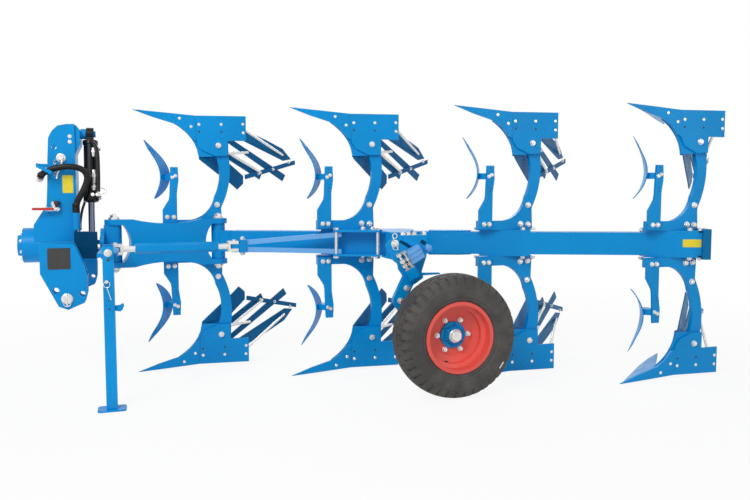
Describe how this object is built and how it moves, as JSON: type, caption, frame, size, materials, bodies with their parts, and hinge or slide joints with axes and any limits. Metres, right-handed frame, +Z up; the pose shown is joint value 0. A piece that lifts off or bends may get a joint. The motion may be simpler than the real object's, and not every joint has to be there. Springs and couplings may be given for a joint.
{
  "type": "moldboard plough",
  "caption": "Reversible mounted plough: slatted moldboard bodies above and below a diagonal beam, with skimmers, headstock, turnover ram, depth wheel and stand.",
  "frame": {"origin": "centre of the bounding box's underside, on the ground", "axes": "+X to the rear, against the direction of travel and along the longest extent; +Y to the side the lower bodies turn the soil; +Z up"},
  "size_m": [4.9746, 2.0856, 1.814],
  "materials": {
    "blue_paint": "semi-gloss sky blue paint",
    "black_paint": "gloss black paint",
    "red_paint": "semi-gloss red paint",
    "zinc": "zinc plated steel",
    "chrome": "polished hard chrome",
    "tyre": "matt black rubber"
  },
  "bodies": {
    "headstock": {"housing": "blue_paint", "front_cap": "blue_paint", "crossbeam": "blue_paint", "bracket_ears": "blue_paint", "link_pins": "zinc", "tower_plates": "blue_paint", "tower_back": "blue_paint", "top_link_pin": "zinc", "ram_lug": "blue_paint", "ram_guard": "blue_paint", "stand_pipe": "blue_paint", "hose": "black_paint", "hose_holder": "blue_paint", "ball_valve": "zinc", "valve_lever": "red_paint"},
    "ram_barrel": {"ram_barrel": "black_paint"},
    "ram_rod": {"ram_rod": "chrome"},
    "plough_frame": {"rotor": "blue_paint", "lug_plate": "blue_paint", "link_frame": "blue_paint", "hinge_pins": "zinc", "turnbuckle": "blue_paint", "screw_ends": "zinc", "screw_pins": "zinc", "draw_block": "blue_paint", "draw_arms": "blue_paint", "clamp_plates": "blue_paint", "clamp_bolts": "zinc", "main_beam": "blue_paint", "beam_doublers": "blue_paint", "beam_nose": "blue_paint", "beam_end": "blue_paint", "bases": "blue_paint", "legs": "blue_paint", "frogs": "blue_paint", "landsides": "blue_paint", "points": "blue_paint", "shares": "blue_paint", "breasts": "blue_paint", "slats": "blue_paint", "slat_bars": "blue_paint", "braces": "zinc", "skimmer_stems": "blue_paint", "skimmer_boards": "blue_paint", "skimmer_shares": "blue_paint", "skimmer_brackets": "blue_paint", "wheel_bracket": "blue_paint", "stand_pin": "zinc"},
    "wheel_arm": {"wheel_arm": "blue_paint", "axle": "zinc", "arm_buffer": "blue_paint", "arm_stop": "blue_paint"},
    "wheel": {"hub": "blue_paint", "rim": "red_paint", "tyre": "tyre"},
    "stand": {"stand_tube": "blue_paint", "stand_foot": "blue_paint"}
  },
  "joints": [
    {"name": "turnover_turn", "type": "hinge", "parent": "headstock", "child": "plough_frame", "pos_m": [-2.1973, 0.28766, 0.907], "axis": [-1, 0, 0], "range_deg": [0, 180]},
    {"name": "ram_swing", "type": "hinge", "parent": "headstock", "child": "ram_barrel", "pos_m": [-2.0353, 0.28766, 1.633], "axis": [1, 0, 0], "range_deg": [0, 19.29]},
    {"name": "ram_slide", "type": "slide", "parent": "ram_barrel", "child": "ram_rod", "axis": [0, -0.1676, -0.9859], "range_m": [-0.11, 0]},
    {"name": "wheel_arm_swing", "type": "hinge", "parent": "plough_frame", "child": "wheel_arm", "pos_m": [-0.1473, -0.45734, 0.907], "axis": [0, -1, 0], "range_deg": [0, 134]},
    {"name": "wheel_spin", "type": "hinge", "parent": "wheel_arm", "child": "wheel", "pos_m": [0.0727, -0.86734, 0.38], "axis": [0, 1, 0], "continuous": true},
    {"name": "stand_swing", "type": "hinge", "parent": "plough_frame", "child": "stand", "pos_m": [-1.9093, -0.52234, 0.907], "axis": [0, -1, 0], "range_deg": [0, 95]}
  ]
}
